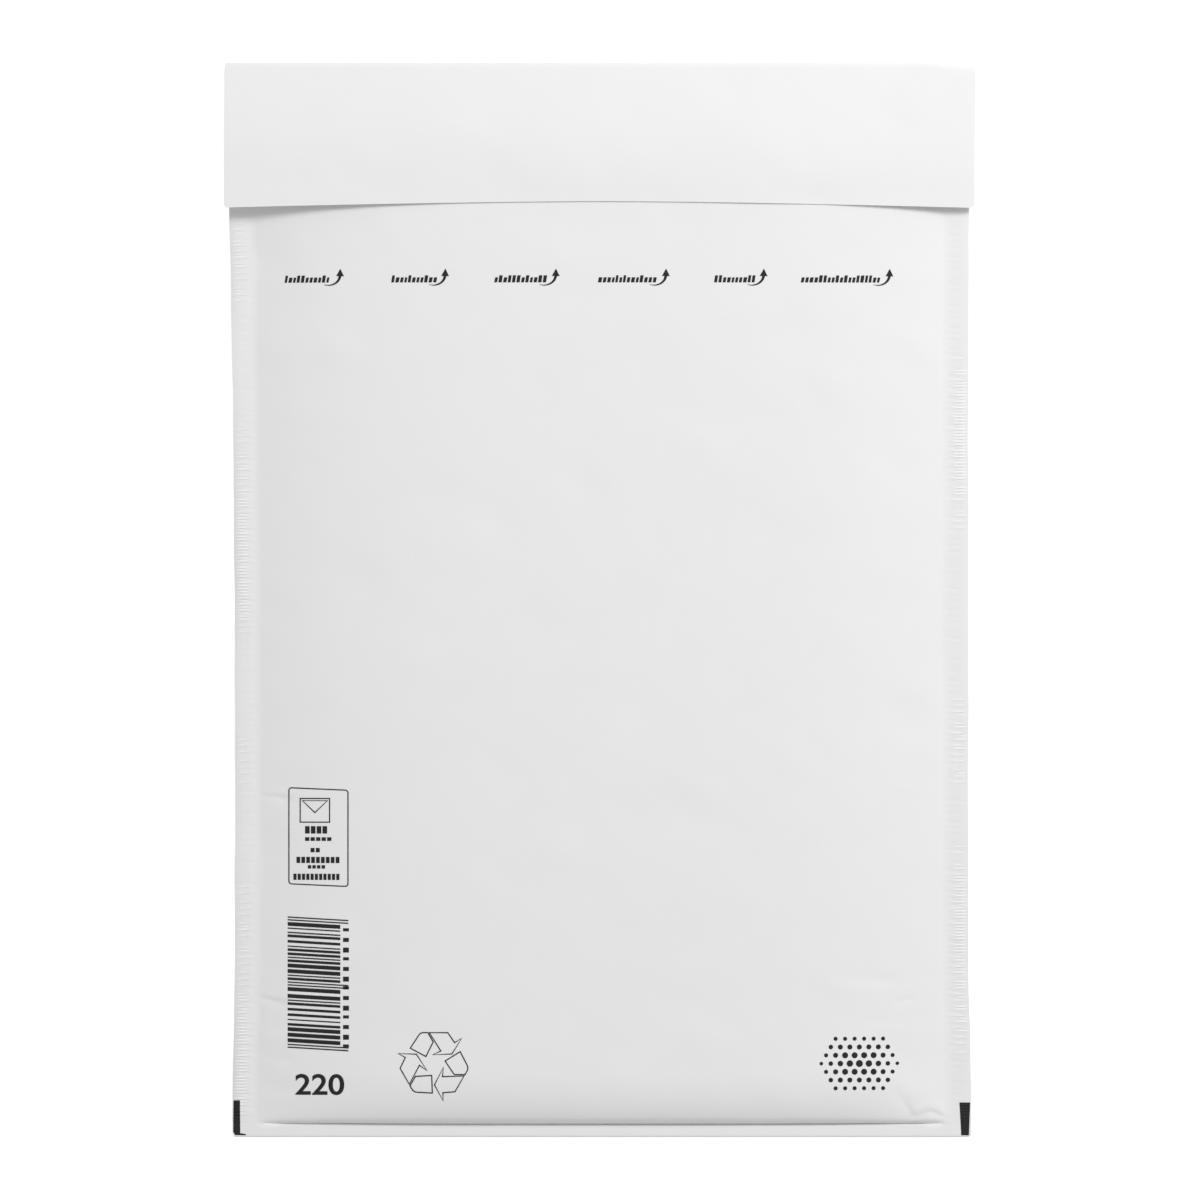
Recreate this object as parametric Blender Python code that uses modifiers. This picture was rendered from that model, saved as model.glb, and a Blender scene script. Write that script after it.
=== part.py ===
"""Padded envelope, lying on its back with its flap folded down over the front, not sealed.

Metres, +Z up out of the front face, +Y towards the folded top edge, +X to the right as one
looks at the front. The origin is on the floor under the middle of the envelope.

The paper is one web: front panel, bottom fold, back panel, top fold and flap. It is drawn
as an open sheet along that path and given its thickness by Solidify. The front and back
panels are bonded by a thin weld down both sides and along the bottom lip, and the side
seals carry the ribs of the crimping jaws. Everything inside or under the flap takes its
place from the same two skins, front_skin and back_skin.
"""

import math

import bmesh
import bpy

# Paper web
SHEET_WIDTH = 0.2446        # width of the web, seen whole in the flap and the top fold
LENGTH = 0.350              # bottom edge to folded top edge
FLAP_DEPTH = 0.047          # top fold to the flap's free edge, at its ends
FLAP_BOW = 0.0014           # the free edge rides up this much where it climbs the padding
PAPER = 0.0004              # sheet thickness
CLEARANCE = 0.0003          # air left between pieces that touch
TOP_FOLD_DEPTH = 0.0015     # how far the rounded top fold reaches, along Y
MOUTH_SETBACK = 0.0035      # top fold to the front panel's own top edge

# Sides drawn in by the padding
WAIST_PULL = 0.0027         # at the narrowest place, each side
WAIST_HEIGHT = 0.100        # of the narrowest place above the bottom edge
WAIST_POWER = 2.5

# Seals
SEAL_WIDTH = 0.0080         # side seal, edge to padding
SEAL_THICKNESS = 0.0010     # both panels and the weld between them
SEAL_HEIGHT = 0.0025        # middle of the seals above the floor
LIP_WIDTH = 0.0045          # flat lip under the padding, at the bottom edge
WELD_SETBACK = 0.0002       # weld behind the paper's edges and the seal line
WELD_BITE = 0.0001          # how deep the weld goes into each panel

# Crimp ribs on the side seals
RIB_PITCH = 0.0010
RIB_HEIGHT = 0.00015        # valley to crest
RIB_PROUD = 0.00002         # valleys above the paper's face
RIB_BAND = 0.0055           # length of a rib, in from the edge
RIB_OVERHANG = 0.0001       # ribs squeezed out past the panel edge
RIB_END_MARGIN = 0.0020     # first and last rib from the ends of the seal
RIB_SPAN_ROWS = 80          # crests and valleys along one straight span of the band

# Padding, as the skins over it
FRONT_RISE = 0.0060         # front face above the seals, where it is full
BACK_FALL = 0.0023          # back face below the seals, before the floor flattens it
CROWN_POWER = 7.0           # how square the section is across the pouch
FLAP_CROWN_POWER = 6.0      # the same for the flap, which bridges the corners
ROLL_LENGTH = 0.016         # rounded end above the bottom lip
TAPER_LENGTH = 0.036        # thinning towards the mouth
MOUTH_SHARE = 0.10          # share of the full height left at the top fold

# Bubble film lining, as a plain solid
LINING_SIDE = 0.0030        # seal line to the film's edge
LINING_BOTTOM = 0.0030      # bottom crease to the film's fold
LINING_SETBACK = 0.012      # top fold to the film's top edge
LINING_EDGE = 0.0004        # thickness where its edges are pinched
POCKET_GAP = 0.0008         # between its two layers, with nothing inside
POCKET_SIDE = 0.0060        # edge of the film to the pocket
POCKET_BOTTOM = 0.0040      # fold of the film to the pocket

# Flap closure
ADHESIVE_FROM = 0.014       # top fold to the strip's near edge
ADHESIVE_WIDTH = 0.020
ADHESIVE_THICKNESS = 0.0003
ADHESIVE_END = 0.0060       # flap's side edge to the end of the strip
LINER_OVERLAP = 0.0040      # liner past the adhesive, on both long edges
LINER_THICKNESS = 0.0003
LINER_END = 0.0020          # flap's side edge to the end of the liner

# Steps of the meshes
BODY_COLUMNS = 7            # from the seal line to the middle
COLUMN_EASE = 1.6           # closer columns near the seal line
ROLL_ROWS = 5
BODY_ROWS = 6
TAPER_ROWS = 5
LIP_STEPS = 4
TOP_FOLD_STEPS = 6
FLAP_ROWS = 7
STRIP_ROWS = 3
FLAT_ANGLE = 0.0002         # faces this near to one plane become one

# Places that follow from the sizes
TOP_Y = 0.5 * LENGTH
BOTTOM_Y = -0.5 * LENGTH
CREASE_Y = BOTTOM_Y + LIP_WIDTH
MOUTH_Y = TOP_Y - MOUTH_SETBACK
FOLD_Y = TOP_Y - TOP_FOLD_DEPTH
WAIST_Y = BOTTOM_Y + WAIST_HEIGHT
LINER_FROM = ADHESIVE_FROM - LINER_OVERLAP
LINER_TO = ADHESIVE_FROM + ADHESIVE_WIDTH + LINER_OVERLAP
STACK = 3.0 * CLEARANCE + ADHESIVE_THICKNESS + LINER_THICKNESS

# Finishes: colour, roughness
PAPER_WHITE = ((0.86, 0.86, 0.85, 1.0), 0.60)
FILM_CLEAR = ((0.74, 0.77, 0.79, 1.0), 0.25)
ADHESIVE_AMBER = ((0.80, 0.74, 0.58, 1.0), 0.35)
LINER_CREAM = ((0.84, 0.81, 0.72, 1.0), 0.30)


# Shape of the pouch

def half_width(y):
    """Half the width of the pouch at y, drawn in below the top fold."""
    reach = min(abs(y - WAIST_Y) / (TOP_Y - WAIST_Y), 1.0)
    return 0.5 * SHEET_WIDTH - WAIST_PULL * (1.0 - reach ** WAIST_POWER)


def crown(x, half, power):
    """1 along the middle of the pouch, 0 at its half width."""
    return 1.0 - min(abs(x) / half, 1.0) ** power


def bottom_roll(y, start):
    """Quarter ellipse from 0 at the bottom crease to 1 where the padding is full."""
    reach = min(max((y - start) / ROLL_LENGTH, 0.0), 1.0)
    return math.sqrt(1.0 - (1.0 - reach) ** 2)


def mouth_taper(y):
    """1 over the padding, down to MOUTH_SHARE at the top fold."""
    reach = min(max((TOP_Y - y) / TAPER_LENGTH, 0.0), 1.0)
    return MOUTH_SHARE + (1.0 - MOUTH_SHARE) * math.sin(0.5 * math.pi * reach)


def fullness(x, y, inset):
    """Share of the full height at a point of a skin that lies inset from the outside."""
    side = crown(x, half_width(y) - SEAL_WIDTH - inset, CROWN_POWER)
    return side * bottom_roll(y, CREASE_Y + inset) * mouth_taper(y)


def front_skin(x, y, inset):
    """Height of the front skin, inset from the paper's outer face."""
    seal_face = SEAL_HEIGHT + 0.5 * SEAL_THICKNESS
    return seal_face - inset + FRONT_RISE * fullness(x, y, inset)


def back_skin(x, y, inset):
    """Height of the back skin, which the floor flattens where it would go lower."""
    seal_face = SEAL_HEIGHT - 0.5 * SEAL_THICKNESS
    return max(seal_face + inset - BACK_FALL * fullness(x, y, inset), inset)


def middle_skin(x, y):
    """Height halfway between the two outer skins."""
    return 0.5 * (front_skin(x, y, 0.0) + back_skin(x, y, 0.0))


def flap_lift(y):
    """Air under the flap: a clearance at the fold, room for the closure further down."""
    reach = min(max((FOLD_Y - y) / LINER_FROM, 0.0), 1.0)
    return CLEARANCE + (STACK - CLEARANCE) * reach * reach * (3.0 - 2.0 * reach)


def flap_skin(x, y, depth):
    """Height of a surface this deep under the flap's outer face."""
    padding = FRONT_RISE * mouth_taper(y) * crown(x, 0.5 * SHEET_WIDTH, FLAP_CROWN_POWER)
    seal_face = SEAL_HEIGHT + 0.5 * SEAL_THICKNESS
    return seal_face + padding + flap_lift(y) + PAPER - depth


# Rows and columns of the sheets

def eased(step, steps):
    """1 at the side, 0 in the middle, with closer steps at the side."""
    return 1.0 - (step / steps) ** COLUMN_EASE


def across_sheet(column, edge):
    """x of a column of the paper: its edge, the seal line, then the padded width."""
    middle = BODY_COLUMNS + 1
    step = min(column, 2 * middle - column)
    distance = edge
    if step > 0:
        distance = (edge - SEAL_WIDTH) * eased(step - 1, BODY_COLUMNS)
    return -distance if column < middle else distance


def across_pad(column, half):
    """x of a column of a pad that is this wide each side."""
    step = min(column, 2 * BODY_COLUMNS - column)
    distance = half * eased(step, BODY_COLUMNS)
    return -distance if column < BODY_COLUMNS else distance


def spread(start, stop, steps):
    """Evenly spaced values after start, up to and with stop."""
    return [start + (stop - start) * step / steps for step in range(1, steps + 1)]


def panel_rows(start, stop):
    """y of the rows of a panel: round the bottom roll, up the body, along the taper."""
    angles = [0.5 * math.pi * step / ROLL_ROWS for step in range(ROLL_ROWS + 1)]
    rows = [start + ROLL_LENGTH * (1.0 - math.cos(angle)) for angle in angles]
    rows += spread(rows[-1], TOP_Y - TAPER_LENGTH, BODY_ROWS)
    rows += spread(rows[-1], stop, TAPER_ROWS)
    return rows


def front_row(y):
    """Point of the front panel's middle surface, for a column."""
    def point(column):
        x = across_sheet(column, half_width(y))
        return x, y, front_skin(x, y, 0.5 * PAPER)
    return point


def back_row(y):
    """Point of the back panel's middle surface, for a column."""
    def point(column):
        x = across_sheet(column, half_width(y))
        return x, y, back_skin(x, y, 0.5 * PAPER)
    return point


def lip_row(angle):
    """Point of the tight fold at the bottom edge, turned by angle from the front."""
    radius = 0.5 * (SEAL_THICKNESS - PAPER)
    y = BOTTOM_Y + 0.5 * SEAL_THICKNESS - radius * math.sin(angle)

    def point(column):
        return across_sheet(column, half_width(y)), y, SEAL_HEIGHT + radius * math.cos(angle)
    return point


def top_fold_row(angle):
    """Point of the round fold at the top edge, turned by angle from the back panel."""
    y = FOLD_Y + (TOP_FOLD_DEPTH - 0.5 * PAPER) * math.sin(angle)

    def point(column):
        x = across_sheet(column, half_width(y))
        low = back_skin(x, FOLD_Y, 0.5 * PAPER)
        high = flap_skin(x, FOLD_Y, 0.5 * PAPER)
        return x, y, 0.5 * (low + high) - 0.5 * (high - low) * math.cos(angle)
    return point


def flap_row(share):
    """Point of the flap's middle surface, this share of the way to its free edge."""
    def point(column):
        x = across_sheet(column, 0.5 * SHEET_WIDTH)
        edge = TOP_Y - FLAP_DEPTH + FLAP_BOW * crown(x, 0.5 * SHEET_WIDTH, 2.0)
        y = FOLD_Y + (edge - FOLD_Y) * share
        return x, y, flap_skin(x, y, 0.5 * PAPER)
    return point


def web_rows():
    """Every row of the paper web in order, from the mouth round to the flap's edge."""
    panel_start = CREASE_Y + 0.5 * PAPER
    rows = [front_row(y) for y in reversed(panel_rows(panel_start, MOUTH_Y))]
    rows += [lip_row(math.pi * step / LIP_STEPS) for step in range(LIP_STEPS + 1)]
    rows += [back_row(y) for y in panel_rows(panel_start, FOLD_Y)]
    rows += [top_fold_row(angle) for angle in spread(0.0, math.pi, TOP_FOLD_STEPS)]
    rows += [flap_row(share) for share in spread(0.0, 1.0, FLAP_ROWS)]
    return rows


# Mesh helpers

def lattice(columns, rows):
    """A flat grid whose vertices stand at whole numbers: x the column, y the row."""
    bm = bmesh.new()
    bmesh.ops.create_grid(bm, x_segments=columns, y_segments=rows, size=1.0)
    for vert in bm.verts:
        vert.co.x = round(0.5 * (vert.co.x + 1.0) * columns)
        vert.co.y = round(0.5 * (vert.co.y + 1.0) * rows)
    return bm


def slab(columns, rows, point):
    """A grid extruded to a closed slab, with point(column, row, is_top) for its places."""
    bm = lattice(columns, rows)
    grown = bmesh.ops.extrude_face_region(bm, geom=bm.faces[:])["geom"]
    top = {item for item in grown if isinstance(item, bmesh.types.BMVert)}
    for vert in bm.verts:
        vert.co = point(int(vert.co.x), int(vert.co.y), vert in top)
    bmesh.ops.recalc_face_normals(bm, faces=bm.faces[:])
    return bm


def add_object(name, bm, collection):
    """The mesh as a named object in a collection, shaded smooth over its gentle bends."""
    mesh = bpy.data.meshes.new(name)
    bm.to_mesh(mesh)
    bm.free()
    mesh.shade_smooth()
    mesh.set_sharp_from_angle(angle=math.radians(30.0))
    obj = bpy.data.objects.new(name, mesh)
    collection.objects.link(obj)
    return obj


def add_tool(name, bm, collection):
    """A solid that is only joined to or cut from another."""
    obj = add_object(name, bm, collection)
    obj.hide_render = True
    obj.display_type = "WIRE"
    return obj


def thicken(obj, thickness):
    """Give an open sheet its thickness, half on each side."""
    solidify = obj.modifiers.new("Thickness", "SOLIDIFY")
    solidify.thickness = thickness
    solidify.offset = 0.0
    solidify.use_even_offset = True


def combine(obj, tool, operation):
    """Join a tool to the object or cut it out."""
    boolean = obj.modifiers.new(tool.name, "BOOLEAN")
    boolean.operation = operation
    boolean.object = tool
    boolean.solver = "EXACT"


def triangulate(obj):
    """Even out the triangles where ribs and weld are printed into long flat faces."""
    modifier = obj.modifiers.new("Triangles", "TRIANGULATE")
    modifier.quad_method = "BEAUTY"
    modifier.ngon_method = "BEAUTY"


def give_material(obj, name, finish):
    """Give the object a material of its own."""
    colour, roughness = finish
    material = bpy.data.materials.new(name)
    material.use_nodes = True
    shader = material.node_tree.nodes["Principled BSDF"]
    shader.inputs["Base Color"].default_value = colour
    shader.inputs["Roughness"].default_value = roughness
    shader.inputs["Metallic"].default_value = 0.0
    obj.data.materials.append(material)


# Pieces

def seal_weld(tools):
    """U of melted film between the panels: down both sides and along the bottom lip."""
    rise = 0.5 * SEAL_THICKNESS - PAPER + WELD_BITE
    bottom = BOTTOM_Y + WELD_SETBACK
    rows = [bottom, CREASE_Y] + panel_rows(CREASE_Y, MOUTH_Y - WELD_SETBACK)[1:]
    outer = [(half_width(y) - WELD_SETBACK, y) for y in rows]
    inner = [(half_width(y) - SEAL_WIDTH + WELD_SETBACK, y) for y in rows[1:]]
    right = outer + inner[::-1]
    outline = right + [(-x, y) for x, y in reversed(right)]

    curve = bpy.data.curves.new("seal_weld", "CURVE")
    curve.dimensions = "2D"
    curve.fill_mode = "BOTH"
    curve.extrude = rise
    spline = curve.splines.new("POLY")
    spline.points.add(len(outline) - 1)
    for place, (x, y) in zip(spline.points, outline):
        place.co = (x, y, 0.0, 1.0)
    spline.use_cyclic_u = True
    guide = bpy.data.objects.new("seal_weld_outline", curve)
    tools.objects.link(guide)
    bpy.context.view_layer.update()
    flat = guide.evaluated_get(bpy.context.evaluated_depsgraph_get())
    mesh = bpy.data.meshes.new_from_object(flat)
    bpy.data.objects.remove(guide)

    bm = bmesh.new()
    bm.from_mesh(mesh)
    bpy.data.meshes.remove(mesh)
    bmesh.ops.remove_doubles(bm, verts=bm.verts[:], dist=1e-6)
    bmesh.ops.translate(bm, verts=bm.verts[:], vec=(0.0, 0.0, SEAL_HEIGHT))
    bmesh.ops.recalc_face_normals(bm, faces=bm.faces[:])
    return add_tool("seal_weld", bm, tools)


def crimp_ribs(side, tools):
    """Zigzag band of crimp ribs on the front of one side seal, in straight spans."""
    first = BOTTOM_Y + RIB_END_MARGIN
    last = MOUTH_Y - RIB_END_MARGIN
    rows = 2 * round((last - first) / RIB_PITCH)
    face = SEAL_HEIGHT + 0.5 * SEAL_THICKNESS

    def row_y(row):
        return first + (last - first) * row / rows

    def edge_x(row):
        start = min(row // RIB_SPAN_ROWS * RIB_SPAN_ROWS, rows - 1)
        stop = min(start + RIB_SPAN_ROWS, rows)
        share = (row - start) / (stop - start)
        return (1.0 - share) * half_width(row_y(start)) + share * half_width(row_y(stop))

    def point(column, row, is_top):
        inward = RIB_BAND if column == 0 else -RIB_OVERHANG
        crest = face + RIB_PROUD + RIB_HEIGHT * (row % 2)
        root = face - 0.5 * PAPER
        return side * (edge_x(row) - inward), row_y(row), crest if is_top else root

    bm = slab(1, rows, point)
    bmesh.ops.dissolve_limit(bm, angle_limit=FLAT_ANGLE, verts=bm.verts[:], edges=bm.edges[:])
    name = "crimp_ribs_right" if side > 0 else "crimp_ribs_left"
    return add_tool(name, bm, tools)


def paper_envelope(parts, tools):
    """The folded web of paper, its seals and its ribs, as one piece."""
    rows = web_rows()
    bm = lattice(2 * (BODY_COLUMNS + 1), len(rows) - 1)
    for vert in bm.verts:
        vert.co = rows[int(vert.co.y)](int(vert.co.x))
    obj = add_object("paper_envelope", bm, parts)
    thicken(obj, PAPER)
    for tool in (seal_weld(tools), crimp_ribs(-1, tools), crimp_ribs(1, tools)):
        combine(obj, tool, "UNION")
    triangulate(obj)
    give_material(obj, "white_paper", PAPER_WHITE)


def bubble_lining(parts, tools):
    """The folded bubble film, welded along its sides, open at the mouth."""
    inset = PAPER + CLEARANCE
    bottom = CREASE_Y + LINING_BOTTOM
    top = TOP_Y - LINING_SETBACK
    film_rows = panel_rows(bottom, top)
    pocket_rows = panel_rows(bottom + POCKET_BOTTOM, top + POCKET_BOTTOM)

    def film_point(column, row, is_top):
        y = film_rows[row]
        x = across_pad(column, half_width(y) - SEAL_WIDTH - LINING_SIDE)
        middle = middle_skin(x, y)
        if is_top:
            return x, y, max(front_skin(x, y, inset), middle + 0.5 * LINING_EDGE)
        return x, y, min(back_skin(x, y, inset), middle - 0.5 * LINING_EDGE)

    def pocket_point(column, row, is_top):
        y = pocket_rows[row]
        x = across_pad(column, half_width(y) - SEAL_WIDTH - LINING_SIDE - POCKET_SIDE)
        half_gap = 0.5 * POCKET_GAP
        return x, y, middle_skin(x, y) + (half_gap if is_top else -half_gap)

    obj = add_object("bubble_lining",
                     slab(2 * BODY_COLUMNS, len(film_rows) - 1, film_point), parts)
    pocket = add_tool("lining_pocket",
                      slab(2 * BODY_COLUMNS, len(pocket_rows) - 1, pocket_point), tools)
    combine(obj, pocket, "DIFFERENCE")
    give_material(obj, "bubble_film", FILM_CLEAR)


def flap_strip(name, start, stop, end_margin, depth, thickness, parts):
    """A strip that follows the flap's inner face, with its middle this deep."""
    half = 0.5 * SHEET_WIDTH - end_margin
    bm = lattice(2 * BODY_COLUMNS, STRIP_ROWS)
    for vert in bm.verts:
        x = across_pad(int(vert.co.x), half)
        y = TOP_Y - start - (stop - start) * vert.co.y / STRIP_ROWS
        vert.co = (x, y, flap_skin(x, y, depth))
    obj = add_object(name, bm, parts)
    thicken(obj, thickness)
    return obj


def closure(parts):
    """Band of hot-melt adhesive on the flap's inner face, and the liner over it."""
    adhesive_depth = PAPER + CLEARANCE + 0.5 * ADHESIVE_THICKNESS
    adhesive = flap_strip("adhesive_strip", ADHESIVE_FROM, ADHESIVE_FROM + ADHESIVE_WIDTH,
                          ADHESIVE_END, adhesive_depth, ADHESIVE_THICKNESS, parts)
    give_material(adhesive, "hot_melt_adhesive", ADHESIVE_AMBER)

    liner_depth = (PAPER + 2.0 * CLEARANCE + ADHESIVE_THICKNESS
                   + 0.5 * LINER_THICKNESS)
    liner = flap_strip("release_liner", LINER_FROM, LINER_TO,
                       LINER_END, liner_depth, LINER_THICKNESS, parts)
    give_material(liner, "liner_paper", LINER_CREAM)


def main():
    for obj in list(bpy.data.objects):
        bpy.data.objects.remove(obj)
    parts = bpy.data.collections.new("padded_envelope")
    tools = bpy.data.collections.new("tools")
    for collection in (parts, tools):
        bpy.context.scene.collection.children.link(collection)
    paper_envelope(parts, tools)
    bubble_lining(parts, tools)
    closure(parts)


main()
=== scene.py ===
"""Looks of the white padded envelope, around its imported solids.

The envelope lies on its back, +Z out of the front, +Y towards the folded top edge. The
paper is one folded sheet. A place on it has a u across the sheet, -1 to 1 over the padding
and on to -2 and 2 over the side seals, and a row along it: from the mouth down the front,
round the bottom lip, up the back, over the top fold and down the flap. All lengths are
metres unless a name ends in MM.
"""

import math

import bpy
import numpy as np
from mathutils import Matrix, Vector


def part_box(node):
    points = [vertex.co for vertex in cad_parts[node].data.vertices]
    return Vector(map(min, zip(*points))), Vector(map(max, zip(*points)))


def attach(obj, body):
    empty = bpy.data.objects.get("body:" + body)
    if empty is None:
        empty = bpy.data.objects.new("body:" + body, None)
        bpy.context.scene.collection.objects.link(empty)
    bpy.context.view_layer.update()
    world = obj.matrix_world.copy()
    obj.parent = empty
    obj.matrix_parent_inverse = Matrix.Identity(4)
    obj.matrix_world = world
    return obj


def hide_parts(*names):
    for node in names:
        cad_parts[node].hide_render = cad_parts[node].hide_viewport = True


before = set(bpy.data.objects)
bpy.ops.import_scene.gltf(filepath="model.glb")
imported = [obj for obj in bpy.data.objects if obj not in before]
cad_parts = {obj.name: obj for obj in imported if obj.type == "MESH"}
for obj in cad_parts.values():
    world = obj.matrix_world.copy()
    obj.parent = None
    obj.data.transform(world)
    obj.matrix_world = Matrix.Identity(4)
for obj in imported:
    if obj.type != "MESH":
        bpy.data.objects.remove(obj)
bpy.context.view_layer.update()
PAPER_LOW, PAPER_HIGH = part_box("paper_envelope")
LINER_LOW, LINER_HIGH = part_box("release_liner")
GLUE_LOW, GLUE_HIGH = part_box("adhesive_strip")
MM = 0.001

# Outline of the envelope
SHEET_WIDTH = 0.2446
TOP_Y = round(PAPER_HIGH.y, 4)
BOTTOM_Y = round(PAPER_LOW.y, 4)
PAPER = 0.0003
FLAP_DEPTH = 0.0453
FLAP_BOW = 0.0021
FLAP_BOW_POWER = 1.5
FLAP_CORNER = 0.0011
FLAP_TAPER = 0.0004         # the right side of the flap leans in towards its free edge
TOP_FOLD_DEPTH = 0.0016
TOP_DROP = 0.0012           # the top fold sinks at its right end
TOP_DROP_LENGTH = 0.018
MOUTH_SETBACK = 0.0035
LIP_CORNER = 0.0012

# Sides drawn in by the padding: left and right
WAIST_Y = BOTTOM_Y + 0.100
WAIST_PULL = (0.0034, 0.00225)
WAIST_POWER = (2.6, 8.0)
CORNER_FLARE = (0.0006, 0.0010)
CORNER_FLARE_LENGTH = 0.070
EDGE_WANDER = 0.00010

# Seals
SEAL_WIDTH = 0.0080
SEAL_HEIGHT = 0.0025
SEAL_THICKNESS = 0.0009
LIP_WIDTH = 0.0045
RIB_PITCH = 0.0010
RIB_HEIGHT = 0.00028
RIB_BAND = 0.0058
RIB_FADE = 0.0009
RIB_START = 0.0020          # the ribs begin over this much above the lip

# Padding
FRONT_RISE = 0.0060
BACK_FALL = 0.0026
CROWN_POWER = 4.0
ROLL_LENGTH = 0.016
ROLL_PINCH = 0.8            # the roll is pinched down to the crease, and hangs over it
ROLL_PINCH_LENGTH = 0.0009
ROLL_OVERHANG = 0.0009
ROLL_OVERHANG_LENGTH = 0.0013
GROOVE_DEPTH = 0.0014       # both skins are pressed down along the bottom crease
GROOVE_HALF_WIDTH = 0.0007
TAPER_LENGTH = 0.036
MOUTH_SHARE = 0.30

# How the flap lies: flat on the left, bent down to the seal on the right
FLAP_GAP = 0.00068          # over the adhesive and its liner
EDGE_GAP = 0.00052          # at the free edge
TOUCH_X = 0.0720            # where the free edge touches the padding
TOUCH_LENGTH = 0.0090
TOUCH_GAP = 0.00034
LEFT_LIFT = 0.0004
RIGHT_DROOP = 0.0033
RIGHT_DROOP_FROM = 0.048
RIGHT_DROOP_POWER = 1.15
EDGE_BEND = 0.00013         # the last strip of the flap's right side is bent down
EDGE_BEND_WIDTH = 0.0024

# Places that follow from the sizes
SEAL_FACE = SEAL_HEIGHT + 0.5 * SEAL_THICKNESS
SEAL_BACK = SEAL_HEIGHT - 0.5 * SEAL_THICKNESS
CREASE_Y = BOTTOM_Y + LIP_WIDTH
LIP_TURN_Y = BOTTOM_Y + 0.5 * SEAL_THICKNESS
MOUTH_Y = TOP_Y - MOUTH_SETBACK
FOLD_Y = TOP_Y - TOP_FOLD_DEPTH
INNER_HALF = 0.5 * SHEET_WIDTH - SEAL_WIDTH

# Camera, as the photograph was framed
FRAME_WIDTH = 0.390         # what the picture shows, side to side
LENS = 300.0
SENSOR = 36.0


def smooth(reach):
    """0 below 0, 1 above 1 and an even curve between."""
    share = np.clip(reach, 0.0, 1.0)
    return share * share * (3.0 - 2.0 * share)


def waves(position, seed, longest, count):
    """Uneven waves of about unit height along a line, each shorter than the last."""
    rng = np.random.default_rng(seed)
    total = np.zeros_like(position)
    for octave in range(count):
        phase = rng.random()
        total += np.sin(2.0 * math.pi * (position * 1.7 ** octave / longest + phase)) / 1.4 ** octave
    return total / 1.6


def by_side(u, pair):
    """The left or the right value of a pair."""
    return np.where(u < 0, pair[0], pair[1])


# Outline

def half_width(u, y):
    """Distance from the middle to the pouch's edge, on the side that u is on."""
    reach = np.minimum(np.abs(y - WAIST_Y) / (TOP_Y - WAIST_Y), 1.0)
    pull = by_side(u, WAIST_PULL) * (1.0 - reach ** by_side(u, WAIST_POWER))
    flare = by_side(u, CORNER_FLARE) * smooth((BOTTOM_Y + CORNER_FLARE_LENGTH - y) / CORNER_FLARE_LENGTH)
    wander = EDGE_WANDER * waves(y + by_side(u, (0.0, 0.3)), 5, 0.060, 3)
    return 0.5 * SHEET_WIDTH - pull + flare + wander


def across(u, edge):
    """x of a place u across the sheet, where its edge is this far from the middle."""
    over_seal = np.maximum(np.abs(u) - 1.0, 0.0)
    return np.sign(u) * ((edge - SEAL_WIDTH) * np.minimum(np.abs(u), 1.0) + SEAL_WIDTH * over_seal)


def u_at(x, y):
    """Where across the pouch a point of its front is."""
    inner = half_width(x, y) - SEAL_WIDTH
    past = np.maximum(np.abs(x) - inner, 0.0)
    return np.sign(x) * (np.minimum(np.abs(x) / inner, 1.0) + past / SEAL_WIDTH)


def corner_cut(distance, radius):
    """How far a rounded corner draws the side in, this far from the end."""
    short = np.clip(radius - distance, 0.0, radius)
    return radius - np.sqrt(radius ** 2 - short ** 2)


# Padding

def crown(u):
    """1 along the middle of the pouch, 0 at the seals."""
    return 1.0 - np.minimum(np.abs(u), 1.0) ** CROWN_POWER


def bottom_roll(y):
    """Quarter ellipse from the bottom crease to where the padding is full."""
    reach = np.clip((y - CREASE_Y) / ROLL_LENGTH, 0.0, 1.0)
    pinch = ROLL_PINCH * np.exp(-(reach * ROLL_LENGTH / ROLL_PINCH_LENGTH) ** 2)
    return np.sqrt(1.0 - (1.0 - reach) ** 2) * (1.0 - pinch)


def mouth_taper(y):
    """1 over the padding, down to MOUTH_SHARE at the top fold."""
    reach = np.clip((TOP_Y - y) / TAPER_LENGTH, 0.0, 1.0)
    return MOUTH_SHARE + (1.0 - MOUTH_SHARE) * np.sin(0.5 * math.pi * reach)


def crease_groove(u, y):
    """Depth of the groove along the bottom crease, fading into the side seals."""
    profile = np.clip(1.0 - np.abs(y - CREASE_Y) / GROOVE_HALF_WIDTH, 0.0, 1.0)
    return GROOVE_DEPTH * profile * np.minimum(crown(u) / 0.3, 1.0)


def fullness(u, y):
    return crown(u) * bottom_roll(y) * mouth_taper(y)


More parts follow.
